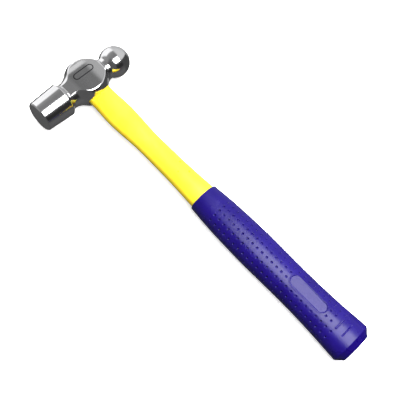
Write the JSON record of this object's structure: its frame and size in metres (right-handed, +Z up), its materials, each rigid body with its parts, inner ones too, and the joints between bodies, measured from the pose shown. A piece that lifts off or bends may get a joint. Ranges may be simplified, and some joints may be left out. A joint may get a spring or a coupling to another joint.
{
  "type": "ball peen hammer",
  "caption": "Steel ball peen hammer with a round striking face, a ball peen, an oval eye, a yellow plastic handle and a dimpled blue grip with a flared butt",
  "frame": {"origin": "under the middle of the hammer's outline, on the surface that the hammer lies on", "axes": "+X along the handle towards the butt, +Y along the head towards the ball, +Z up, square to the cheeks"},
  "size_m": [0.3347, 0.0984, 0.0304],
  "materials": {
    "polished_steel": "polished poll and ball, satin ground cheeks",
    "fibreglass": "pultruded glass fibre rod",
    "yellow_plastic": "smooth moulded, semi-gloss",
    "resin": "cast resin",
    "blue_grip": "soft moulded grip with a satin sheen"
  },
  "bodies": {
    "root": {"hammer_head": "polished_steel", "handle_core": "fibreglass", "handle_jacket": "yellow_plastic", "eye_bond": "resin", "grip_sleeve": "blue_grip"}
  },
  "joints": []
}
